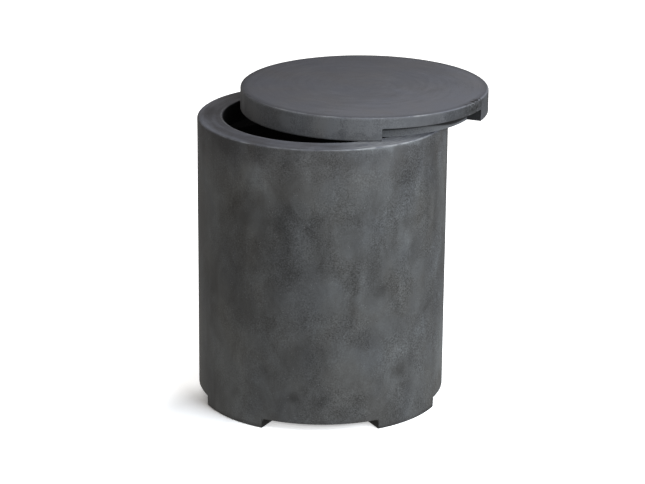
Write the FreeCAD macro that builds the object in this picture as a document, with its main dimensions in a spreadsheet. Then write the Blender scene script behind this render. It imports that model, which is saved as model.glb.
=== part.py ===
import FreeCAD, Part
import os
from enum import IntEnum

import Sketcher

# Cast concrete cover for a standing gas cylinder, used as a side table.
# A hollow drum with an open base stands on four feet that are cast in one with it, and a loose round
# lid lies on its rim, here pushed aside. The origin is on the floor under the middle of the drum,
# +Z is up and -Y is the front.

# The driving sizes, in millimetres and degrees: name, value, what it is.
SIZES = [
    ("drum_diameter", 483, "outside of the drum"),
    ("rim_level", 562.5, "top of the rim above the floor"),
    ("wall_thickness", 22, "drum wall between its two thick rings"),
    ("rim_width", 48, "flat top of the rim, from the outside to the opening"),
    ("rim_depth", 42, "height of the thick ring under the rim"),
    ("base_width", 48, "thick ring at the base, from the outside in"),
    ("base_level", 64, "top of the thick ring at the base above the floor"),
    ("slope_height", 26, "height of the slope from the wall to each thick ring"),
    ("rim_rounding", 8, "round on the rim's outer edge"),
    ("opening_rounding", 5, "round on the edge of the opening"),
    ("foot_count", 4, "feet, evenly spaced"),
    ("foot_span", 38.5, "width of each foot round the drum"),
    ("foot_bearing", 45, "middle of the first foot, from +X"),
    ("arch_level", 19, "top of the gaps between the feet above the floor"),
    ("foot_rounding", 3, "round on the edges of the feet"),
    ("pad_diameter", 34, "protective pad under each foot"),
    ("pad_thickness", 2, "protective pad under each foot"),
    ("lid_diameter", 482, "outside of the lid"),
    ("lid_thickness", 45.5, "whole height of the lid"),
    ("slab_thickness", 21, "flat slab of the lid, above its skirt"),
    ("skirt_width", 48, "ring under the slab, which lies on the rim"),
    ("lid_rounding", 6, "round on the lid's top edge"),
    ("lid_foot_rounding", 2.5, "round on the lid's lower edge and round its finger recesses"),
    ("pocket_rounding", 4, "round inside the hollow under the lid"),
    ("recess_count", 2, "finger recesses, evenly spaced round the lid"),
    ("recess_span", 59.5, "width of each finger recess round the lid"),
    ("recess_depth", 29, "how far each finger recess goes in"),
    ("recess_height", 24.5, "how far each finger recess goes up from the lid's lower face"),
    ("recess_rounding", 6, "round at the back of each finger recess, under the slab"),
    ("recess_bearing", -52.9, "middle of the first finger recess, from +X"),
    ("lid_shift", 99.3, "how far the lid is pushed aside from the drum's middle"),
    ("lid_shift_bearing", 35.7, "which way the lid is pushed, from +X"),
    ("lid_seat", 0, "gap between the rim and the lid that lies on it"),
    ("overcut", 6, "how far a cut runs past the piece that it cuts"),
]

# Sizes that follow from the driving ones, as expressions on the sheet.
DRUM_RADIUS = "Sizes.drum_diameter / 2"
WALL_INSIDE = "(Sizes.drum_diameter / 2 - Sizes.wall_thickness)"
RIM_INSIDE = "(Sizes.drum_diameter / 2 - Sizes.rim_width)"
BASE_INSIDE = "(Sizes.drum_diameter / 2 - Sizes.base_width)"
PAD_CIRCLE = "(Sizes.drum_diameter / 2 - Sizes.base_width / 2)"
ARCH_SPAN = "360 / Sizes.foot_count - Sizes.foot_span"
ARCH_BEARING = "Sizes.foot_bearing - 180 / Sizes.foot_count"
LID_RADIUS = "Sizes.lid_diameter / 2"
SKIRT_INSIDE = "(Sizes.lid_diameter / 2 - Sizes.skirt_width)"
SLAB_UNDERSIDE = "Sizes.lid_thickness - Sizes.slab_thickness"
RECESS_INSIDE = "(Sizes.lid_diameter / 2 - Sizes.recess_depth)"

# How near an edge must be to a worked-out size to be the one that is meant.
SAME_PLACE = 0.01


# How a sketch names its own axes and a line's two ends. The radius axis starts at the sketch's origin.
class Sketched(IntEnum):
    HEIGHT_AXIS = -2
    RADIUS_AXIS = -1
    START = 1
    END = 2


def make_sheet(doc):
    sheet = doc.addObject("Spreadsheet::Sheet", "Sizes")
    for row, (name, value, meaning) in enumerate(SIZES, 1):
        sheet.set(f"A{row}", meaning)
        sheet.set(f"B{row}", str(value))
        sheet.setAlias(f"B{row}", name)
    doc.recompute()


def new_body(doc, name):
    body = doc.addObject("PartDesign::Body", name)
    body.Label = name
    return body


def origin_feature(body, role):
    return next(item for item in body.Origin.OriginFeatures if item.Role == role)


def value_of(item, expression):
    return float(item.evalExpression(expression))


def tie(sketch, line, kind, expression):
    """Holds a line's start at its distance from the sketch's origin along one axis."""
    start = Sketched.START
    if expression == "0":
        axis = Sketched.HEIGHT_AXIS if kind == "DistanceX" else Sketched.RADIUS_AXIS
        sketch.addConstraint(Sketcher.Constraint("PointOnObject", line, start, axis))
        return
    distance = value_of(sketch, expression)
    held = Sketcher.Constraint(kind, Sketched.RADIUS_AXIS, start, line, start, distance)
    number = sketch.addConstraint(held)
    sketch.setExpression(f"Constraints[{number}]", expression)


def section(body, name, corners):
    """A closed outline in the body's XZ plane. Each corner is (distance from the axis, height)."""
    sketch = body.newObject("Sketcher::SketchObject", name)
    sketch.AttachmentSupport = [(origin_feature(body, "XZ_Plane"), "")]
    sketch.MapMode = "FlatFace"
    points = [
        FreeCAD.Vector(value_of(sketch, across), value_of(sketch, up), 0)
        for across, up in corners
    ]
    for start, end in zip(points, points[1:] + points[:1]):
        sketch.addGeometry(Part.LineSegment(start, end))
    for line, (across, up) in enumerate(corners):
        ends = (line, Sketched.END, (line + 1) % len(corners), Sketched.START)
        sketch.addConstraint(Sketcher.Constraint("Coincident", *ends))
        tie(sketch, line, "DistanceX", across)
        tie(sketch, line, "DistanceY", up)
    return sketch


def turn(body, name, corners):
    """Revolves an outline once round the body's own axis."""
    sketch = section(body, f"{name}_section", corners)
    solid = body.newObject("PartDesign::Revolution", name)
    solid.Profile = sketch
    solid.ReferenceAxis = (sketch, ["V_Axis"])
    solid.Angle = 360
    body.Tip = solid
    return solid


def cut_round(body, name, corners, span, count):
    """Cuts an outline through an arc of the given span about +X, and repeats the cut round the axis."""
    sketch = section(body, f"{name}_section", corners)
    cut = body.newObject("PartDesign::Groove", name)
    cut.Profile = sketch
    cut.ReferenceAxis = (sketch, ["V_Axis"])
    cut.Midplane = True
    cut.setExpression("Angle", span)
    repeat = body.newObject("PartDesign::PolarPattern", f"{name}_repeat")
    repeat.Originals = [cut]
    repeat.Axis = (sketch, ["V_Axis"])
    repeat.Angle = 360
    repeat.setExpression("Occurrences", count)
    body.Tip = repeat
    return repeat


def edges_where(feature, wanted):
    """The names of the edges that a test picks out."""
    edges = feature.Shape.Edges
    return [f"Edge{number}" for number, edge in enumerate(edges, 1) if wanted(edge)]


def round_in_turn(doc, body, solid, roundings):
    """Rounds one set of edges after another. Each set has a name, a radius and a test for its edges."""
    for name, radius, wanted in roundings:
        names = edges_where(solid, wanted)
        if not names:
            raise RuntimeError(f"{name} found no edge to round")
        fillet = body.newObject("PartDesign::Fillet", name)
        fillet.Base = (solid, names)
        fillet.setExpression("Radius", radius)
        body.Tip = fillet
        doc.recompute()
        solid = fillet


def near(first, second):
    return abs(first - second) < SAME_PLACE


def is_ring(edge, radius, height):
    """Is the edge part of a level circle of this radius at this height?"""
    curve = edge.Curve
    if not isinstance(curve, Part.Circle):
        return False
    return near(curve.Radius, radius) and near(edge.CenterOfMass.z, height)


def reach_of(point):
    return (point.x**2 + point.y**2) ** 0.5


def is_upright(edge, radius):
    """Is the edge a straight upright one at this distance from the axis?"""
    if not isinstance(edge.Curve, Part.Line):
        return False
    low, high = edge.Vertexes[0].Point, edge.Vertexes[-1].Point
    return not near(low.z, high.z) and near(reach_of(low), radius) and near(reach_of(high), radius)


def is_low(edge, inside):
    """Is the edge on the body's lower face, further out than this distance from the axis?"""
    ends = [vertex.Point for vertex in edge.Vertexes]
    return all(near(end.z, 0) and reach_of(end) > inside + SAME_PLACE for end in ends)


# The drum: one casting with a thin wall between a thick rim and a thick base ring.
def make_drum(doc):
    body = new_body(doc, "drum")
    turn(
        body,
        "drum_wall",
        [
            (DRUM_RADIUS, "Sizes.pad_thickness"),
            (DRUM_RADIUS, "Sizes.rim_level"),
            (RIM_INSIDE, "Sizes.rim_level"),
            (RIM_INSIDE, "Sizes.rim_level - Sizes.rim_depth"),
            (WALL_INSIDE, "Sizes.rim_level - Sizes.rim_depth - Sizes.slope_height"),
            (WALL_INSIDE, "Sizes.base_level + Sizes.slope_height"),
            (BASE_INSIDE, "Sizes.base_level"),
            (BASE_INSIDE, "Sizes.pad_thickness"),
        ],
    )
    solid = cut_round(
        body,
        "arch",
        [
            (f"{BASE_INSIDE} - Sizes.overcut", "Sizes.pad_thickness - Sizes.overcut"),
            (f"{DRUM_RADIUS} + Sizes.overcut", "Sizes.pad_thickness - Sizes.overcut"),
            (f"{DRUM_RADIUS} + Sizes.overcut", "Sizes.arch_level"),
            (f"{BASE_INSIDE} - Sizes.overcut", "Sizes.arch_level"),
        ],
        ARCH_SPAN,
        "Sizes.foot_count",
    )
    doc.recompute()
    outside = value_of(body, DRUM_RADIUS)
    opening = value_of(body, RIM_INSIDE)
    rim = value_of(body, "Sizes.rim_level")
    sole = value_of(body, "Sizes.pad_thickness")
    arch = value_of(body, "Sizes.arch_level")
    roundings = [
        ("rim_round", "Sizes.rim_rounding", lambda edge: is_ring(edge, outside, rim)),
        ("opening_round", "Sizes.opening_rounding", lambda edge: is_ring(edge, opening, rim)),
        (
            "foot_round",
            "Sizes.foot_rounding",
            lambda edge: is_upright(edge, outside)
            or is_ring(edge, outside, sole)
            or is_ring(edge, outside, arch),
        ),
    ]
    round_in_turn(doc, body, solid, roundings)
    body.setExpression("Placement.Rotation.Angle", ARCH_BEARING)
    return body


# The pads: thin discs stuck under the feet, one each.
def make_pads(doc):
    pads = []
    for place, corner in enumerate(["right_back", "left_back", "left_front", "right_front"]):
        pad = doc.addObject("Part::Cylinder", f"foot_pad_{corner}")
        pad.Label = f"foot_pad_{corner}"
        pad.setExpression("Radius", "Sizes.pad_diameter / 2")
        pad.setExpression("Height", "Sizes.pad_thickness")
        bearing = f"(Sizes.foot_bearing + {place} * 360 / Sizes.foot_count)"
        pad.setExpression("Placement.Base.x", f"{PAD_CIRCLE} * cos({bearing})")
        pad.setExpression("Placement.Base.y", f"{PAD_CIRCLE} * sin({bearing})")
        pads.append(pad)
    return pads


# The lid: a slab on a skirt, hollow underneath, with finger recesses in the skirt's outside.
def make_lid(doc):
    body = new_body(doc, "lid")
    turn(
        body,
        "lid_slab",
        [
            ("0", SLAB_UNDERSIDE),
            (SKIRT_INSIDE, SLAB_UNDERSIDE),
            (SKIRT_INSIDE, "0"),
            (LID_RADIUS, "0"),
            (LID_RADIUS, "Sizes.lid_thickness"),
            ("0", "Sizes.lid_thickness"),
        ],
    )
    solid = cut_round(
        body,
        "finger_recess",
        [
            (RECESS_INSIDE, "-Sizes.overcut"),
            (f"{LID_RADIUS} + Sizes.overcut", "-Sizes.overcut"),
            (f"{LID_RADIUS} + Sizes.overcut", "Sizes.recess_height"),
            (RECESS_INSIDE, "Sizes.recess_height"),
        ],
        "Sizes.recess_span",
        "Sizes.recess_count",
    )
    doc.recompute()
    outside = value_of(body, LID_RADIUS)
    back = value_of(body, RECESS_INSIDE)
    skirt = value_of(body, SKIRT_INSIDE)
    flat = value_of(body, f"{SKIRT_INSIDE} + Sizes.pocket_rounding")
    top = value_of(body, "Sizes.lid_thickness")
    ceiling = value_of(body, "Sizes.recess_height")
    slab = value_of(body, SLAB_UNDERSIDE)
    roundings = [
        ("lid_round", "Sizes.lid_rounding", lambda edge: is_ring(edge, outside, top)),
        (
            "pocket_round",
            "Sizes.pocket_rounding",
            lambda edge: is_ring(edge, skirt, 0) or is_ring(edge, skirt, slab),
        ),
        (
            "recess_back_round",
            "Sizes.recess_rounding",
            lambda edge: is_ring(edge, back, ceiling) or is_upright(edge, back),
        ),
        (
            "lid_foot_round",
            "Sizes.lid_foot_rounding",
            lambda edge: is_low(edge, flat)
            or is_ring(edge, outside, ceiling)
            or is_upright(edge, outside),
        ),
    ]
    round_in_turn(doc, body, solid, roundings)
    body.setExpression("Placement.Base.x", "Sizes.lid_shift * cos(Sizes.lid_shift_bearing)")
    body.setExpression("Placement.Base.y", "Sizes.lid_shift * sin(Sizes.lid_shift_bearing)")
    body.setExpression("Placement.Base.z", "Sizes.rim_level + Sizes.lid_seat")
    body.setExpression("Placement.Rotation.Angle", "Sizes.recess_bearing")
    return body


def check(doc, pieces):
    """Stops before anything is written if an object failed or a piece isn't one sound solid."""
    for item in doc.Objects:
        if "Invalid" in item.State or "Error" in item.State:
            raise RuntimeError(f"{item.Label} didn't build: {item.State}")
    for piece in pieces:
        if piece.Shape.isNull() or not piece.Shape.isValid():
            raise RuntimeError(f"{piece.Label} has no valid shape")
        if len(piece.Shape.Solids) != 1:
            raise RuntimeError(f"{piece.Label} has {len(piece.Shape.Solids)} solids")


def save(pieces):
    os.makedirs("parts", exist_ok=True)
    for piece in pieces:
        piece.Shape.exportStep(os.path.join("parts", f"{piece.Label}.step"))
        box = piece.Shape.optimalBoundingBox()
        litres = piece.Shape.Volume / 1e6
        sides = f"{box.XLength:.1f} x {box.YLength:.1f} x {box.ZLength:.1f} mm"
        print(f"{piece.Label}: {sides}, {litres:.3f} litres")


def main():
    doc = FreeCAD.newDocument("tank_cover_table")
    make_sheet(doc)
    pieces = [make_drum(doc), *make_pads(doc), make_lid(doc)]
    doc.recompute()
    check(doc, pieces)
    save(pieces)


main()
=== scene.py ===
from math import cos, pi, radians, sin

import bpy
import numpy as np
from mathutils import Euler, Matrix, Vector, noise


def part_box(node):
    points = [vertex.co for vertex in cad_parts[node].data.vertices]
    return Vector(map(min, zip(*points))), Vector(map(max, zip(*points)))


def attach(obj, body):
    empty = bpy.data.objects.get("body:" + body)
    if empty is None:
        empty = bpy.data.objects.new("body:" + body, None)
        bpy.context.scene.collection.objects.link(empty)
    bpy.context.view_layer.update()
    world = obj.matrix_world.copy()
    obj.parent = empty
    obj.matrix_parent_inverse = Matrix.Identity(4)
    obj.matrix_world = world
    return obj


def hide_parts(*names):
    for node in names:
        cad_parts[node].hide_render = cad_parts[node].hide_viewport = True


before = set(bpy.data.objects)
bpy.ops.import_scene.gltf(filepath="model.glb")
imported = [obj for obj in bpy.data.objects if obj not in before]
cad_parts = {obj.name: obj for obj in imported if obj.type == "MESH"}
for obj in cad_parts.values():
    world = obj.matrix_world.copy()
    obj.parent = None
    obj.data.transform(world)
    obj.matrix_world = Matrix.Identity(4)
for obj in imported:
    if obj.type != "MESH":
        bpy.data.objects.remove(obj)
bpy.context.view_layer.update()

# A round table of cast concrete that hides a gas cylinder: a hollow drum on four cast feet, with a
# loose round lid that is pushed aside. Metres, origin on the floor under the middle of the drum.
# A bearing is in degrees round the axis, from the front towards the right.

drumLow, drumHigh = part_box("drum")
lidLow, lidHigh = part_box("lid")
drumMiddle, lidMiddle = Vector((0, 0, 0)), (lidLow + lidHigh) / 2
print("frame loaded")


# how a value rises and falls over the points of a mesh

def smoothStep(low, high, value):
    share = np.clip((value - low) / (high - low), 0, 1)
    return share * share * (3 - 2 * share)


def hump(value, middle, spread, power=2):
    # 1 in the middle, falling to 0 on both sides
    return np.exp(-np.abs((value - middle) / spread) ** power)


def onTop(up, top):
    # 1 on a level top face, 0 where its edge turns down
    return smoothStep(top - 0.003, top - 0.0005, up)


def lumps(points, size, octaves, seed):
    # smooth noise from about -1 to 1, in lumps of the given size
    away = Vector((seed, seed * 1.7, -seed))
    return np.array([noise.fractal(Vector(p) / size + away, 1.0, 2.0, octaves) for p in points])


def wrapAngle(angle):
    return (angle + pi) % (2 * pi) - pi


def roundAxis(points, middle):
    # distance from an upright axis, and bearing
    across, along = points[:, 0] - middle.x, points[:, 1] - middle.y
    return np.hypot(across, along), np.degrees(np.arctan2(across, -along))


def stainedAndShaded(points, marks, radius, middle):
    # the tone that the listed clouds give at each point, stains and painted light and shade, with
    # their outlines wandering
    bearing = roundAxis(points, middle)[1]
    aside = lumps(points, 0.02, 2, 4.4) * 0.008
    up = points[:, 2] + lumps(points, 0.024, 2, 9.1) * 0.012
    tone = np.zeros(len(points))
    for place, height, wide, tall, strength in marks:
        across = radians(1) * (bearing - place) * radius + aside
        tone += strength * np.exp(-((across / wide) ** 2 + ((up - height) / tall) ** 2) ** 1.2)
    return tone


def wornAndHighlit(bearing, marks):
    # how rubbed an edge is and how much painted highlight it has, a little everywhere and more at
    # the listed places
    wearAndHighlights = np.full(len(bearing), 0.2)
    for place, spread, strength in marks:
        wearAndHighlights += strength * hump(np.degrees(wrapAngle(np.radians(bearing - place))), 0, spread)
    return wearAndHighlights


# outlines are lists of (distance from the axis, height), and a mesh has one at each of its angles

def line(start, end, count):
    # points from start up to, but not including, end
    share = np.arange(count)[:, None] / count
    return np.asarray(start) * (1 - share) + np.asarray(end) * share


def arc(centre, radius, fromDegrees, toDegrees, count):
    turn = np.radians(np.linspace(fromDegrees, toDegrees, count, endpoint=False))
    return np.asarray(centre) + radius * np.stack([np.cos(turn), np.sin(turn)], 1)


def columnAngles(count, edges, crowding, within=0.016):
    # angles once round the axis, crowded together close to the listed edges
    fine = np.linspace(-pi, pi, 20001)
    density = np.ones_like(fine)
    for edge in edges:
        density += crowding * hump(wrapAngle(fine - edge), 0, within)
    total = np.concatenate([[0], np.cumsum((density[1:] + density[:-1]) / 2)])
    return np.interp(np.arange(count) * total[-1] / count, total, fine)


def spanShares(angles, middles, halfSpan, radius, corner):
    # 1 at the angles inside one of the spans and 0 outside, with a soft step at each end
    inside = [
        max(halfSpan - abs(wrapAngle(angle - middle)) for middle in middles) for angle in angles
    ]
    return smoothStep(-corner, corner, np.array(inside) * radius)


def turned(angles, outlines, middle):
    # the points of the outlines, each turned to its own angle round the middle
    return np.concatenate([
        np.stack([
            middle.x + outline[:, 0] * cos(angle),
            middle.y + outline[:, 0] * sin(angle),
            outline[:, 1],
        ], 1)
        for angle, outline in zip(angles, outlines)
    ])


def columnFaces(count, rows, closed=False, downwards=False):
    # faces between neighbouring columns of points, for outlines that run upwards outside
    faces = []
    for column in range(count):
        first, second = column * rows, (column + 1) % count * rows
        if downwards:
            first, second = second, first
        for row in range(rows if closed else rows - 1):
            above = (row + 1) % rows
            faces.append((first + row, second + row, second + above, first + above))
    return faces


def fillDisc(points, faces, ring, angles, rings, height, middle, up):
    # closes a ring of vertices with rings of fewer and fewer columns, down to one point
    for radius, columns in rings:
        start = len(points)
        points += [
            (middle.x + radius * cos(angle), middle.y + radius * sin(angle), height)
            for angle in angles[::len(angles) // columns]
        ]
        inner = list(range(start, start + columns))
        for n in range(columns):
            after = (n + 1) % columns
            if len(ring) == columns:
                outer = [ring[n], ring[after]]
            else:
                outer = [ring[2 * n], ring[2 * n + 1], ring[(2 * n + 2) % len(ring)]]
            face = outer + [inner[after], inner[n]]
            faces.append(face if up else face[::-1])
        ring = inner
    points.append((middle.x, middle.y, height))
    for n in range(len(ring)):
        face = [ring[n], ring[(n + 1) % len(ring)], len(points) - 1]
        faces.append(face if up else face[::-1])


def meshPiece(name, points, faces, painted):
    mesh = bpy.data.meshes.new(name)
    mesh.from_pydata([tuple(p) for p in points], [], faces)
    for label, values in painted.items():
        attribute = mesh.attributes.new(label, "FLOAT", "POINT")
        attribute.data.foreach_set("value", np.asarray(values, np.float32))
    mesh.shade_smooth()
    mesh.set_sharp_from_angle(angle=radians(38))
    mesh.update()
    piece = bpy.data.objects.new(name, mesh)
    bpy.context.scene.collection.objects.link(piece)
    return piece


def pressIn(mesh, points, skin, edge, s):
    # soft waves in the skin and chips along the edge, all into the solid, so that it never grows
    waves = np.clip(0.5 + 0.5 * lumps(points, s["waveSize"], 2, s["waveSeed"]), 0, 1)
    chips = smoothStep(0.25, 0.6, lumps(points, s["chipSize"], 2, s["chipSeed"])) * edge
    depth = skin * waves * s["waveDepth"] + chips * s["chipDepth"]
    normals = np.empty(len(mesh.vertices) * 3)
    mesh.vertex_normals.foreach_get("vector", normals)
    places = np.empty(len(mesh.vertices) * 3)
    mesh.vertices.foreach_get("co", places)
    places = places.reshape(-1, 3) - normals.reshape(-1, 3) * depth[:, None]
    mesh.vertices.foreach_set("co", places.ravel())
    mesh.update()


class Value:
    # a shader socket that can be used in sums
    def __init__(self, finish, socket):
        self.finish, self.socket = finish, socket

    def maths(self, operation, first, second):
        return self.finish.add("ShaderNodeMath", {"operation": operation}, {0: first, 1: second})

    def __add__(self, other):
        return self.maths("ADD", self, other)

    def __sub__(self, other):
        return self.maths("SUBTRACT", self, other)

    def __rsub__(self, other):
        return self.maths("SUBTRACT", other, self)

    def __mul__(self, other):
        return self.maths("MULTIPLY", self, other)

    __radd__ = __add__
    __rmul__ = __mul__

    def between(self, low, high):
        # 0 below low, 1 above high, smooth in between
        settings = {"interpolation_type": "SMOOTHSTEP", "clamp": True}
        sockets = {0: self, 1: low, 2: high, 3: 0, 4: 1}
        return self.finish.add("ShaderNodeMapRange", settings, sockets)


class Finish:
    # one material and the nodes in it
    def __init__(self, name):
        self.material = bpy.data.materials.new(name)
        self.material.use_nodes = True
        self.tree = self.material.node_tree
        self.tree.nodes.clear()

    def add(self, kind, settings=None, sockets=None, out=0):
        node = self.tree.nodes.new(kind)
        for name, setting in (settings or {}).items():
            if name == "stops":
                ramp = node.color_ramp
                while len(ramp.elements) < len(setting):
                    ramp.elements.new(0.5)
                for element, (place, colour) in zip(ramp.elements, setting):
                    element.position, element.color = place, colour
            else:
                setattr(node, name, setting)
        for name, given in (sockets or {}).items():
            if isinstance(given, Value):
                self.tree.links.new(given.socket, node.inputs[name])
            else:
                node.inputs[name].default_value = given
        return Value(self, node.outputs[out]) if len(node.outputs) else None

    def place(self, stretch=(1, 1, 1)):
        # the point on the piece, stretched along each axis
        where = self.add("ShaderNodeTexCoord", out="Object")
        return self.add("ShaderNodeVectorMath", {"operation": "MULTIPLY"}, {0: where, 1: stretch})

    def clouds(self, scale, detail, roughness=0.5, distortion=0.0, stretch=(1, 1, 1)):
        sockets = {
            "Vector": self.place(stretch), "Scale": scale, "Detail": detail,
            "Roughness": roughness, "Distortion": distortion,
        }
        return self.add("ShaderNodeTexNoise", {}, sockets, "Fac")

    def sweeps(self, middle, around, across):
        # noise drawn out round an axis, as a float and a turning mould leave it
        settings = {"operation": "MULTIPLY_ADD"}
        where = self.add("ShaderNodeTexCoord", out="Object")
        onFloor = {0: where, 1: (1, 1, 0), 2: (-middle.x, -middle.y, 0)}
        flat = self.add("ShaderNodeVectorMath", settings, onFloor)
        reach = self.add("ShaderNodeVectorMath", {"operation": "LENGTH"}, {0: flat}, "Value")
        way = self.add("ShaderNodeVectorMath", {"operation": "NORMALIZE"}, {0: flat})
        height = self.add("ShaderNodeSeparateXYZ", {}, {0: where}, "Z")
        rise = self.add("ShaderNodeCombineXYZ", {}, {"Z": (reach + height) * across})
        point = self.add("ShaderNodeVectorMath", settings, {0: way, 1: (around,) * 3, 2: rise})
        sockets = {"Vector": point, "Scale": 1.0, "Detail": 4.0, "Roughness": 0.6}
        return self.add("ShaderNodeTexNoise", {}, sockets, "Fac")

    def spots(self, scale, inner, outer):
        # round spots all over the piece: 1 inside the inner radius, 0 outside the outer one
        sockets = {"Vector": self.place(), "Scale": scale}
        cells = self.add("ShaderNodeTexVoronoi", {"feature": "F1"}, sockets, "Distance")
        return 1 - cells.between(inner, outer)

    def mix(self, share, first, second, blend="MIX"):
        settings = {"data_type": "RGBA", "blend_type": blend, "clamp_factor": True}
        return self.add("ShaderNodeMix", settings, {0: share, 6: first, 7: second}, 2)

    def painted(self, name):
        return self.add("ShaderNodeAttribute", {"attribute_name": name}, out="Fac")

    def bump(self, height, distance):
        sockets = {"Strength": 1.0, "Distance": distance, "Height": height}
        return self.add("ShaderNodeBump", {}, sockets, "Normal")

    def surface(self, sockets):
        shader = self.add("ShaderNodeBsdfPrincipled", {}, sockets)
        self.add("ShaderNodeOutputMaterial", {}, {"Surface": shader})
        return self.material


def grey(level, warm=0.0, green=0.0):
    return (level * (1 + warm), level * (1 + green), level * (1 - warm), 1)


def concrete(name, s, middle):
    # cast and sealed concrete. Six values are painted on its mesh: its tone, with stains and
    # painted light and shade ("stain"), and how level ("level"), sandy ("grit"), speckled ("pits"),
    # rubbed and painted with highlights ("edge"), and darkened by painted shade and pits ("dark")
    # it is.
    finish = Finish(name)
    broad = finish.clouds(
        s["cloudScale"], detail=2.5, roughness=0.5, distortion=0.4, stretch=(1, 1, 0.8))
    blotches = finish.clouds(
        s["blotchScale"], detail=5.0, roughness=0.62, distortion=0.5, stretch=(1, 1, 0.65))
    runs = finish.clouds(s["runScale"], detail=3.0, roughness=0.55, stretch=(1, 1, 0.07))
    sand = finish.clouds(s["sandScale"], detail=2.5, roughness=0.75)
    sandPatches = finish.clouds(s["blotchScale"] * 0.7, detail=2.0).between(0.36, 0.62)
    sweep = finish.sweeps(middle, around=2.2, across=90.0)
    level = finish.painted("level")

    # a level face has fewer marks from the mould, and the sweeps of the float instead
    grit = (sand - 0.5) * (0.35 + sandPatches) * finish.painted("grit")
    marks = (blotches - 0.5) * s["blotchShare"] + grit * s["sandShare"]
    tone = 0.5 + (broad - 0.5) * s["cloudShare"] + marks * (1.5 - level)
    # stains, and painted light and shade, come in through the painted tone
    tone = tone + (runs - 0.5) * s["runShare"] + finish.painted("stain") * s["stainAndLightShare"]
    tone = tone + (sweep - 0.5) * level * s["sweepShare"]
    colour = finish.add("ShaderNodeValToRGB", {"stops": s["tones"]}, {0: tone}, "Color")

    warmth = finish.clouds(
        s["cloudScale"] * 1.6, detail=3.0, roughness=0.55, distortion=0.3, stretch=(1, 1, 0.7))
    warm = warmth.between(0.5, 0.66) * s["tintShare"]
    cool = (1 - warmth.between(0.36, 0.5)) * s["tintShare"]
    colour = finish.mix(warm, colour, s["warmTint"], "MULTIPLY")
    colour = finish.mix(cool, colour, s["coolTint"], "MULTIPLY")
    colour = finish.mix(level, colour, s["levelTint"], "MULTIPLY")

    # pale specks come in groups
    groups = finish.clouds(s["blotchScale"] * 3.1, detail=2.0).between(0.5, 0.66)
    specks = finish.spots(s["speckScale"], 0.1, 0.24) * (groups + finish.painted("pits"))
    colour = finish.mix(specks * s["speckShare"], colour, s["paleTone"])
    # edges rubbed pale, with painted highlights along them
    rubbedAndHighlit = finish.sweeps(middle, s["rubAndHighlightScale"], across=420.0).between(0.35, 0.62)
    rubbedAndHighlit = rubbedAndHighlit * finish.painted("edge")
    colour = finish.mix(rubbedAndHighlit * s["rubAndHighlightShare"], colour, s["paleTone"])
    # painted shade, and dark pits on the lid's rough patch
    colour = finish.mix(finish.painted("dark"), colour, s["darkTone"])

    # pinholes that air bubbles leave, also in groups
    groups = finish.clouds(s["holeScale"] * 0.31, detail=1.0).between(0.52, 0.6)
    holes = finish.spots(s["holeScale"], 0.05, 0.12) * groups
    height = sand * s["sandHeight"] + blotches * s["blotchHeight"] - holes * s["holeDepth"]
    height = height + sweep * level * s["sweepHeight"]
    return finish.surface({
        "Base Color": colour,
        "Roughness": s["roughness"] + (blotches - 0.5) * 0.3 + (sand - 0.5) * 0.15,
        "Normal": finish.bump(height, 0.001),
        "Specular IOR Level": s["shine"],
    })


# the camera stands where the photograph was taken from

photoView = {
    "place": (0.0017, -4.6013, 1.8325),
    "pitch": 18.361,  # degrees below level
    "roll": 0.466,
    "lens": 138.37,  # millimetres, on a sensor 36 mm wide
}

cameraData = bpy.data.cameras.new("photoCamera")
cameraData.lens = photoView["lens"]
cameraData.sensor_width = 36
cameraData.clip_start, cameraData.clip_end = 0.05, 100
camera = bpy.data.objects.new("photoCamera", cameraData)
camera.location = photoView["place"]
camera.rotation_mode = "QUATERNION"
tilt = Euler((radians(90 - photoView["pitch"]), 0, 0)).to_quaternion()
camera.rotation_quaternion = tilt @ Euler((0, 0, radians(photoView["roll"]))).to_quaternion()
bpy.context.scene.collection.objects.link(camera)
bpy.context.scene.camera = camera
print("camera set")


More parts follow.
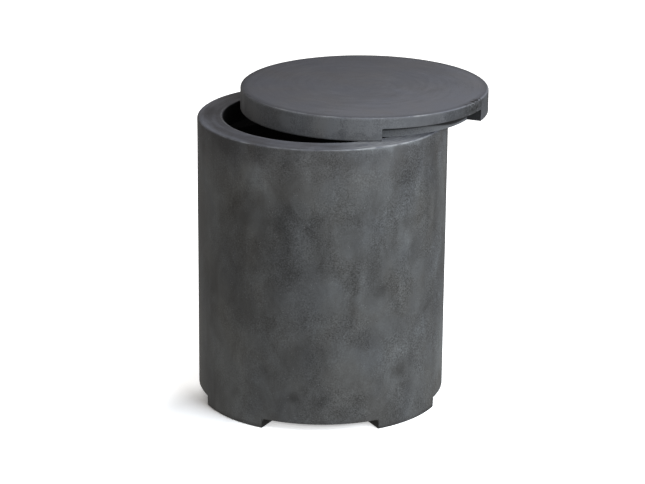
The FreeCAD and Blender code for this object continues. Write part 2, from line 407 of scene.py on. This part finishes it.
drumPlan = {
    "radius": (drumHigh.x - drumLow.x) / 2,
    "rimTop": drumHigh.z,
    "rimRound": 0.0045,
    "rimDepth": 0.042,  # of the thick ring at the rim
    "openingRadius": 0.1925,
    "openingRound": 0.002,
    "wallRadius": 0.2195,  # the inside between the two thick rings
    "slope": 0.026,  # height of the slope between the wall and a ring
    "baseTop": 0.064,  # of the thick ring at the floor
    "archTop": 0.019,  # of the gaps between the feet
    "sole": 0.0004,  # the pads are let into the feet
    "footSpan": 38.5,  # degrees
    "footTurn": 43.4,  # degrees from the middle of the nearest side gap
    "footRound": 0.002,
    "footCorner": 0.001,  # how gently a foot ends
    "columns": 576,
    "crowding": 5.0,  # of the columns at a foot's ends
    "waveSize": 0.11, "waveDepth": 0.0005, "waveSeed": 3.1,
    "chipSize": 0.011, "chipDepth": 0.0007, "chipSeed": 8.4,

    # clouds in the casting, some of them painted light and shade (darker at the far left, paler low
    # down and on the rim at the front right): bearing, height, half width, half height, tone
    "stainsAndShading": [
        (-90, 0.400, 0.060, 0.180, -1.6), (-86, 0.563, 0.090, 0.020, -0.6),
        (-82, 0.130, 0.060, 0.090, 0.8), (-68, 0.548, 0.085, 0.030, -1.2),
        (-60, 0.350, 0.070, 0.200, 0.5), (-48, 0.100, 0.110, 0.110, 1.3),
        (-45, 0.545, 0.040, 0.020, -0.6), (-40, 0.020, 0.090, 0.030, 1.2),
        (-38, 0.428, 0.042, 0.028, -0.9), (-31, 0.496, 0.030, 0.032, 2.0),
        (-30, 0.400, 0.040, 0.060, 0.7), (-30, 0.375, 0.014, 0.026, -0.7),
        (-24, 0.115, 0.020, 0.011, -0.8), (-16, 0.432, 0.020, 0.038, -1.0),
        (-14, 0.328, 0.016, 0.020, -0.7), (-12, 0.073, 0.014, 0.010, -0.9),
        (-8, 0.377, 0.011, 0.018, 0.6), (0, 0.336, 0.008, 0.038, -0.9),
        (0, 0.233, 0.012, 0.016, -0.6), (0, 0.120, 0.080, 0.070, 0.3),
        (0, 0.062, 0.017, 0.017, -1.0), (3, 0.500, 0.090, 0.060, 0.8),
        (9, 0.050, 0.014, 0.012, -0.8), (11, 0.360, 0.010, 0.018, 0.6),
        (14, 0.285, 0.008, 0.045, -0.8), (19, 0.505, 0.030, 0.028, 0.5),
        (20, 0.088, 0.026, 0.012, 0.6), (28, 0.279, 0.010, 0.014, -0.7),
        (30, 0.420, 0.050, 0.080, 0.3), (32, 0.440, 0.009, 0.014, -0.6),
        (36, 0.566, 0.070, 0.010, 2.4), (38, 0.146, 0.016, 0.018, 0.4),
        (38, 0.109, 0.018, 0.012, -0.8), (40, 0.367, 0.016, 0.030, 0.9),
        (41, 0.080, 0.014, 0.014, -0.6), (42, 0.410, 0.018, 0.010, -0.8),
        (45, 0.300, 0.080, 0.140, 0.3), (47, 0.313, 0.022, 0.011, 1.0),
        (56, 0.386, 0.008, 0.048, -0.7), (82, 0.120, 0.050, 0.060, 2.3),
    ],
    "stainAndLightShare": 0.22,
    "rimTone": 0.3, "rimLightRise": 0.9,  # painted light: the rim's top grows paler from its left to its front
    "sheen": (-75, 42, 2.1),  # a painted sheen, a pale band on the rim's top near its outer edge: bearing, spread, tone
    # where the rim's outer edge is rubbed pale and painted with highlights: bearing, spread,
    # strength
    "wearAndHighlights": [
        (-36, 12, 0.8), (-6, 10, 0.6), (17, 7, 0.8), (33, 11, 1.0), (120, 25, 0.7), (200, 30, 0.6),
    ],
    "paintedLightUnderLid": (33, 22),  # painted light in pale streaks on the rim's top at the front right, under the lid: bearing, spread
    "rubAndHighlightScale": 9.0, "rubAndHighlightShare": 0.9,
    "archShade": 0.85, "footEndShade": 0.97, "soleShade": 0.5,

    "tones": [
        (0.0, grey(0.018)), (0.3, grey(0.033, 0.01, 0.01)), (0.5, grey(0.047, -0.005, 0.01)),
        (0.72, grey(0.063, -0.02, 0.015)), (1.0, grey(0.09, -0.03, 0.02)),
    ],
    "paleTone": grey(0.19, -0.02), "darkTone": grey(0.003),
    "warmTint": (1.05, 1.0, 0.93, 1), "coolTint": (0.96, 0.99, 1.05, 1), "tintShare": 0.45,
    "levelTint": (1.0, 0.97, 1.19, 1),
    "cloudScale": 7.0, "cloudShare": 0.6,
    "blotchScale": 22.0, "blotchShare": 0.7, "blotchHeight": 0.6,
    "runScale": 30.0, "runShare": 0.3,
    "sandScale": 340.0, "sandShare": 0.95, "sandHeight": 0.16,
    "grit": 0.85, "gritRise": 0.4,  # sandier on the right than on the left
    "sweepShare": 1.9, "sweepHeight": 0.6,
    "speckScale": 250.0, "speckShare": 0.35,
    "holeScale": 95.0, "holeDepth": 0.7,
    "roughness": 0.7, "shine": 0.18,
}


def drumOutline(bottom, s):
    # once round the wall, from the foot's outer edge upwards
    outside, rim = s["radius"], s["rimTop"]
    opening, wall = s["openingRadius"], s["wallRadius"]
    footRound, rimRound, openingRound = s["footRound"], s["rimRound"], s["openingRound"]
    ringFoot = rim - s["rimDepth"]
    evenFrom, evenTo = 0.08, rim - rimRound - 0.02  # heights between which the rows are even
    return np.concatenate([
        arc((outside - footRound, bottom + footRound), footRound, -90, 0, 5),
        line((outside, bottom + footRound), (outside, evenFrom), 10),
        line((outside, evenFrom), (outside, evenTo), 76),
        line((outside, evenTo), (outside, rim - rimRound), 5),
        arc((outside - rimRound, rim - rimRound), rimRound, 0, 90, 14),
        line((outside - rimRound, rim), (opening + openingRound, rim), 12),
        arc((opening + openingRound, rim - openingRound), openingRound, 90, 180, 7),
        line((opening, rim - openingRound), (opening, ringFoot), 6),
        line((opening, ringFoot), (wall, ringFoot - s["slope"]), 5),
        line((wall, ringFoot - s["slope"]), (wall, s["baseTop"] + s["slope"]), 12),
        line((wall, s["baseTop"] + s["slope"]), (opening, s["baseTop"]), 5),
        line((opening, s["baseTop"]), (opening, bottom), 6),
        line((opening, bottom), (outside - footRound, bottom), 6),
    ])


def makeDrum(s):
    halfSpan = radians(s["footSpan"]) / 2
    feet = [radians(side * s["footTurn"] + turn) for side in (-1, 1) for turn in (0, 180)]
    ends = [foot + side * halfSpan for foot in feet for side in (-1, 1)]
    angles = columnAngles(s["columns"], ends, s["crowding"])
    footShares = spanShares(angles, feet, halfSpan, s["radius"], s["footCorner"])
    bottoms = s["archTop"] + (s["sole"] - s["archTop"]) * footShares
    outlines = [drumOutline(bottom, s) for bottom in bottoms]
    rows = len(outlines[0])
    points = turned(angles, outlines, drumMiddle)

    outside, rim = s["radius"], s["rimTop"]
    reach, bearing = roundAxis(points, drumMiddle)
    up = points[:, 2]
    # the rim's outer edge is rubbed pale with painted highlights, the opening's edge gets a painted
    # highlight, and the rim's top under the lid a patch of painted light
    rimEdge = hump(reach, outside - 0.0020, 0.0011) * hump(up, rim - 0.0011, 0.0011)
    openingEdge = hump(reach, s["openingRadius"] + 0.0024, 0.0012) * hump(up, rim, 0.0008)
    paintedLightUnderLid = smoothStep(rim - 0.004, rim - 0.001, up) * hump(bearing, *s["paintedLightUnderLid"], power=4)

    # painted shade inside, under the arches, on the feet's ends and along their soles
    within = reach < outside - 0.012
    dark = smoothStep(rim - 0.0003, rim - 0.0025, up) * within
    arch = s["archShade"] * (reach < outside - s["footRound"] - 0.0005)
    shares = np.repeat(footShares, rows)
    footEnd = s["footEndShade"] * ((shares > 0.03) & (shares < 0.97))
    dark = np.where(up < s["archTop"] + 0.001, np.maximum(arch, footEnd), dark)
    dark = np.maximum(dark, s["soleShade"] * hump(up, s["sole"], 0.003) * (1 - within))

    level = onTop(up, rim)
    # painted light on the rim's top, paler towards the front, with a painted sheen near its outer
    # edge
    sheenAt, sheenSpread, sheenTone = s["sheen"]
    sheen = hump(reach, outside - 0.007, 0.005) * hump(bearing, sheenAt, sheenSpread, power=4)
    rimTone = s["rimTone"] + s["rimLightRise"] * smoothStep(-50, 0, bearing) + sheenTone * sheen
    piece = meshPiece("drum_cast", points, columnFaces(len(angles), rows, closed=True), {
        "edge": np.maximum(rimEdge * wornAndHighlit(bearing, s["wearAndHighlights"]), 0.5 * openingEdge) + paintedLightUnderLid,
        "dark": dark,
        "stain": stainedAndShaded(points, s["stainsAndShading"], outside, drumMiddle) + level * rimTone,
        "grit": s["grit"] + s["gritRise"] * np.sin(np.radians(bearing)),
        "pits": np.zeros(len(points)),
        "level": 0.5 * level + 0.12 * smoothStep(0.45, 0.55, up),
    })
    skin = smoothStep(outside - 0.02, outside - 0.006, reach) * smoothStep(0.004, 0.03, up)
    pressIn(piece.data, points, skin, rimEdge, s)
    return piece


drum = makeDrum(drumPlan)
drum.data.materials.append(concrete("drumConcrete", drumPlan, drumMiddle))
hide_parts("drum")
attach(drum, "base")
print("drum made")


lidPlan = {
    "radius": (lidHigh.x - lidLow.x) / 2 - 0.0001,
    "low": lidLow.z + 0.0002,  # a hair of room for it to slide
    "top": lidHigh.z,
    "topRound": 0.005,
    "lowRound": 0.0018,
    "slab": 0.021,  # thickness over the hollow
    "hollowRadius": 0.193,
    "hollowRound": 0.004,
    "recessRadius": 0.212,
    "recessRound": 0.006,
    "recessHeight": 0.0229,
    "recessSpan": 59.5,  # degrees
    "recessTurn": -52.9,  # degrees from the right, towards the back
    "recessCorner": 0.0012,  # how gently a recess ends
    "columns": 576,
    "crowding": 6.0,  # of the columns at a recess's ends
    # rings that close the top and the hollow: radius, columns
    "topRings": [
        (0.226, 576), (0.205, 576), (0.175, 288), (0.14, 288), (0.1, 144), (0.065, 72), (0.035, 36),
    ],
    "hollowRings": [(0.17, 288), (0.12, 144), (0.07, 72), (0.03, 36)],
    "waveSize": 0.09, "waveDepth": 0.00035, "waveSeed": 5.6,
    "chipSize": 0.01, "chipDepth": 0.0009, "chipSeed": 2.2,

    # clouds in the side, some of them painted shade that darkens the right end: bearing, height,
    # half width, half height, tone
    "stainsAndShading": [
        (-77, 0.586, 0.014, 0.020, 3.8), (-60, 0.584, 0.036, 0.030, 3.3),
        (-38, 0.588, 0.014, 0.014, 2.6), (-27, 0.580, 0.010, 0.010, -1.4),
        (-12, 0.571, 0.060, 0.006, -1.8), (-12, 0.588, 0.140, 0.040, 2.4),
        (10, 0.570, 0.070, 0.006, -1.6), (52, 0.588, 0.070, 0.030, -5.8),
        (86, 0.585, 0.060, 0.030, -6.2), (150, 0.585, 0.050, 0.015, -0.5),
    ],
    "stainAndLightShare": 0.12,
    "sideTone": 1.0,
    "topTone": 2.0, "topLightRise": 3.2,  # painted light: the top grows paler towards the right and the front
    # where the top edge is rubbed pale and painted with highlights: bearing, spread, strength
    "wearAndHighlights": [
        (-38, 10, 0.6), (-17, 3, 0.6), (4, 5, 0.4), (21, 7, 1.6), (58, 3, 0.9), (130, 20, 0.7),
        (235, 25, 0.6),
    ],
    "rubAndHighlightScale": 9.0, "rubAndHighlightShare": 0.9,
    "pitsAndShadeAt": (61, 9),  # where the edge is rough and pitted, and darkened with painted shade: bearing, spread
    "pitSize": 0.0045, "pitSpecks": 6.0,
    "recessDeeper": (30, 54),  # bearings between which the shade in a recess comes down
    "hollowShade": 0.3, "recessShade": 0.95, "recessEndShade": 0.85,
    "besideEdgeShade": 0.35, "footShade": 0.8,

    "tones": [
        (0.0, grey(0.03, -0.03)), (0.35, grey(0.045, -0.035, -0.01)),
        (0.55, grey(0.056, -0.035, -0.01)), (0.8, grey(0.066, -0.03)), (1.0, grey(0.085, -0.03)),
    ],
    "paleTone": grey(0.19, -0.02), "darkTone": grey(0.003),
    "warmTint": (1.05, 1.0, 0.93, 1), "coolTint": (0.96, 0.99, 1.05, 1), "tintShare": 0.45,
    "levelTint": (0.995, 0.97, 1.06, 1),
    "cloudScale": 7.0, "cloudShare": 0.35,
    "blotchScale": 22.0, "blotchShare": 0.75, "blotchHeight": 0.35,
    "runScale": 30.0, "runShare": 0.1,
    "sandScale": 340.0, "sandShare": 1.1, "sandHeight": 0.07,
    "sweepShare": 0.5, "sweepHeight": 0.2,
    "speckScale": 250.0, "speckShare": 0.2,
    "holeScale": 95.0, "holeDepth": 0.5,
    "roughness": 0.72, "shine": 0.18,
}


def lidOutlines(s):
    # from the round of the top down and in to the slab over the hollow, whole and at a recess
    outside, low, high = s["radius"], s["low"], s["top"]
    lip, lowRound = low + s["recessHeight"], s["lowRound"]
    back, backRound = s["recessRadius"], s["recessRound"]
    hollow, hollowRound, ceiling = s["hollowRadius"], s["hollowRound"], high - s["slab"]
    above = np.concatenate([
        arc((outside - s["topRound"], high - s["topRound"]), s["topRound"], 90, 0, 9),
        line((outside, high - s["topRound"]), (outside, lip + lowRound), 5),
    ])
    whole = np.concatenate([
        line((outside, lip + lowRound), (outside, low + lowRound), 12),
        arc((outside - lowRound, low + lowRound), lowRound, 0, -90, 6),
        line((outside - lowRound, low), (back, low), 12),
    ])
    recess = np.concatenate([
        arc((outside - lowRound, lip + lowRound), lowRound, 0, -90, 6),
        line((outside - lowRound, lip), (back + backRound, lip), 8),
        arc((back + backRound, lip - backRound), backRound, 90, 180, 6),
        line((back, lip - backRound), (back, low), 10),
    ])
    below = np.concatenate([
        line((back, low), (hollow + hollowRound, low), 5),
        arc((hollow + hollowRound, low + hollowRound), hollowRound, -90, -180, 5),
        line((hollow, low + hollowRound), (hollow, ceiling - hollowRound), 4),
        arc((hollow - hollowRound, ceiling - hollowRound), hollowRound, 0, 90, 5),
    ])
    return np.concatenate([above, whole, below]), np.concatenate([above, recess, below])


def makeLid(s, middle):
    halfSpan = radians(s["recessSpan"]) / 2
    recesses = [radians(s["recessTurn"] + turn) for turn in (0, 180)]
    ends = [recess + side * halfSpan for recess in recesses for side in (-1, 1)]
    angles = columnAngles(s["columns"], ends, s["crowding"])
    recessShares = spanShares(angles, recesses, halfSpan, s["radius"], s["recessCorner"])
    whole, recess = lidOutlines(s)
    rows = len(whole)
    outlines = [whole * (1 - share) + recess * share for share in recessShares]
    points = [tuple(p) for p in turned(angles, outlines, middle)]
    faces = columnFaces(len(angles), rows, downwards=True)
    outside, low, top = s["radius"], s["low"], s["top"]
    ceiling = top - s["slab"]
    topRing = [column * rows for column in range(len(angles))]
    hollowRing = [first + rows - 1 for first in topRing]
    fillDisc(points, faces, topRing, angles, s["topRings"], top, middle, up=True)
    fillDisc(points, faces, hollowRing, angles, s["hollowRings"], ceiling, middle, up=False)
    points = np.array(points)
    shares = np.zeros(len(points))
    shares[:len(angles) * rows] = np.repeat(recessShares, rows)

    reach, bearing = roundAxis(points, middle)
    up = points[:, 2]
    lip = low + s["recessHeight"]
    topEdge = hump(reach, outside - 0.0020, 0.0012) * hump(up, top - 0.0012, 0.0012)
    besideEdge = hump(reach, outside - 0.0045, 0.0014) * hump(up, top, 0.0012)
    foot = hump(up, low, 0.0016) * (reach > outside - 0.003)
    pitsAndShade = hump(bearing, *s["pitsAndShadeAt"]) * (reach > outside - 0.012) * (up > lip)
    pitShade = 0.15 + 0.8 * smoothStep(-0.05, 0.35, lumps(points, s["pitSize"], 1, 6.6))

    # painted shade in the hollow, high up in the recesses, on their ends, beside the edge and at
    # the foot, and dark pits with painted shade on the rough patch
    dark = s["hollowShade"] * (up < ceiling + 0.001) * (reach < s["recessRadius"] - 0.002)
    inRecess = (reach > s["hollowRadius"] + 0.01) & (reach < outside - 0.002)
    inRecess &= (up > low + 0.0002) & (up < lip + 0.0003)
    shadeFrom = low + 0.0115 - 0.0085 * smoothStep(*s["recessDeeper"], bearing)
    recessDark = s["recessShade"] * smoothStep(shadeFrom, shadeFrom + 0.003, up)
    dark = np.where(inRecess, recessDark, dark)
    recessEnd = (shares > 0.03) & (shares < 0.97) & (up < lip + 0.001)
    dark = np.where(recessEnd, s["recessEndShade"], dark)
    dark += s["besideEdgeShade"] * besideEdge + s["footShade"] * foot + pitsAndShade * pitShade

    side = (reach > outside - 0.004) & (up < top - 0.002)
    sideTone = s["sideTone"] + stainedAndShaded(points, s["stainsAndShading"], outside, middle)
    # painted light: the top's tone grows paler towards the right and the front
    toRight, toFront = points[:, 0] - middle.x, middle.y - points[:, 1]
    topTone = s["topTone"] + s["topLightRise"] * (toRight * 0.8 + toFront * 0.6) / outside
    piece = meshPiece("lid_cast", points, faces, {
        # the top edge rubbed pale, with painted highlights along it
        "edge": topEdge * wornAndHighlit(bearing, s["wearAndHighlights"]),
        "dark": dark,
        "stain": np.where(side, sideTone, topTone),
        "grit": np.ones(len(points)),
        "pits": s["pitSpecks"] * pitsAndShade,
        "level": 0.85 * onTop(up, top) + 0.15,
    })
    skin = smoothStep(outside - 0.01, outside - 0.004, reach)
    skin = skin * smoothStep(low + 0.002, low + 0.01, up)
    pressIn(piece.data, points, skin, topEdge, s)
    return piece


lid = makeLid(lidPlan, lidMiddle)
lid.data.materials.append(concrete("lidConcrete", lidPlan, lidMiddle))
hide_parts("lid")
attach(lid, "lid")
print("lid made")


# under each foot, a moulded pad with ring grooves in its sole
padPlan = {
    "columns": 64,
    "round": 0.0005,
    "eye": 0.0015,  # radius of the flat middle
    "grooves": (0.005, 0.009, 0.013),  # distances from the middle
    "grooveWidth": 0.0012,
    "grooveDepth": 0.0004,
    "tone": grey(0.018), "scuffTone": grey(0.035),
    "scuffScale": 120.0, "scuffShare": 0.6,
    "grainScale": 900.0, "grainDepth": 0.0002,
    "roughness": 0.75,
}


def rubber(name, s):
    finish = Finish(name)
    grain = finish.clouds(s["grainScale"], detail=3.0, roughness=0.6)
    scuffs = finish.clouds(s["scuffScale"], detail=4.0, roughness=0.6).between(0.5, 0.7)
    return finish.surface({
        "Base Color": finish.mix(scuffs * s["scuffShare"], s["tone"], s["scuffTone"]),
        "Roughness": s["roughness"] + (grain - 0.5) * 0.3,
        "Normal": finish.bump(grain, s["grainDepth"]),
    })


def padOutline(radius, low, high, s):
    # from the middle of the sole out and up to the middle of the top
    half, deep = s["grooveWidth"] / 2, low + s["grooveDepth"]
    outline = [(s["eye"], low)]
    for groove in s["grooves"]:
        outline += [(groove - half, low), (groove - half / 2, deep)]
        outline += [(groove + half / 2, deep), (groove + half, low)]
    outline += list(arc((radius - s["round"], low + s["round"]), s["round"], -90, 0, 5))
    outline += list(arc((radius - s["round"], high - s["round"]), s["round"], 0, 90, 5))
    outline += [(radius - s["round"], high), (radius / 2, high), (s["eye"], high)]
    return np.array(outline)


def makePad(name, node, s):
    low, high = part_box(node)
    outline = padOutline((high.x - low.x) / 2, low.z, high.z, s)
    count, rows = s["columns"], len(outline)
    turns = [2 * pi * n / count for n in range(count)]
    points = turned(turns, [outline] * count, (low + high) / 2)
    faces = columnFaces(count, rows)
    faces.append([column * rows for column in reversed(range(count))])
    faces.append([column * rows + rows - 1 for column in range(count)])
    return meshPiece(name, points, faces, {})


padRubber = rubber("padRubber", padPlan)
for node in [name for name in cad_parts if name.startswith("foot_pad")]:
    pad = makePad(node.replace("foot_pad", "pad"), node, padPlan)
    pad.data.materials.append(padRubber)
    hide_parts(node)
    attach(pad, "base")
print("pads made")


studio = {
    "floorSize": 240.0,
    "floorTone": grey(0.98),
    "floorGlow": 0.58,
    # the glow fades round this place, the soft shadow at the drum's left front
    "shadowPlace": (-0.235, -0.165, 0),
    "shadowStretch": (1.3, 1, 1),  # narrower from left to right
    "shadowFrom": 0.07, "shadowTo": 0.205,
    "insideRadius": 0.21,  # the floor inside the drum stays in shade
    "skyTone": (1.0, 0.97, 0.94, 1), "skyStrength": 0.67,
    # name, place, size, power, tone
    "lights": [
        ("sideLight", (2.0, -1.9, 1.75), 2.6, 170.0, (0.895, 0.96, 1.03)),
        ("topLight", (1.2, 0.2, 3.2), 2.2, 16.0, (0.96, 0.97, 1.0)),
    ],
    "aim": (0, 0, 0.3),
}


def makeFloor(s):
    half = s["floorSize"] / 2
    corners = [(-half, -half, 0), (half, -half, 0), (half, half, 0), (-half, half, 0)]
    mesh = bpy.data.meshes.new("studioFloor")
    mesh.from_pydata(corners, [], [(0, 1, 2, 3)])
    floor = bpy.data.objects.new("studioFloor", mesh)
    floor.visible_diffuse = floor.visible_glossy = False  # it throws no light back
    bpy.context.scene.collection.objects.link(floor)

    finish = Finish("studioPaper")
    stretch = s["shadowStretch"]
    shadow = tuple(a * b for a, b in zip(s["shadowPlace"], stretch))
    fromShadow, fromAxis = {0: finish.place(stretch), 1: shadow}, {0: finish.place()}
    away = finish.add("ShaderNodeVectorMath", {"operation": "DISTANCE"}, fromShadow, "Value")
    reach = finish.add("ShaderNodeVectorMath", {"operation": "LENGTH"}, fromAxis, "Value")
    lit = away.between(s["shadowFrom"], s["shadowTo"])
    lit = lit * reach.between(s["insideRadius"] - 0.03, s["insideRadius"])
    mesh.materials.append(finish.surface({
        "Base Color": s["floorTone"], "Roughness": 0.9,
        "Emission Color": finish.mix(lit, (0, 0, 0, 1), (1, 1, 1, 1)),
        "Emission Strength": s["floorGlow"],
    }))
    return floor


def makeLight(name, place, size, power, tone, aim):
    data = bpy.data.lights.new(name, "AREA")
    data.shape, data.size, data.energy, data.color = "DISK", size, power, tone
    light = bpy.data.objects.new(name, data)
    light.location = place
    light.rotation_euler = (Vector(aim) - Vector(place)).to_track_quat("-Z", "Y").to_euler()
    bpy.context.scene.collection.objects.link(light)


makeFloor(studio)
for light in studio["lights"]:
    makeLight(*light, studio["aim"])
world = bpy.data.worlds.new("studioSky")
world.use_nodes = True
sky = world.node_tree.nodes["Background"].inputs
sky["Color"].default_value = studio["skyTone"]
sky["Strength"].default_value = studio["skyStrength"]
bpy.context.scene.world = world
bpy.context.scene.view_settings.view_transform = "Standard"
print("studio lit")
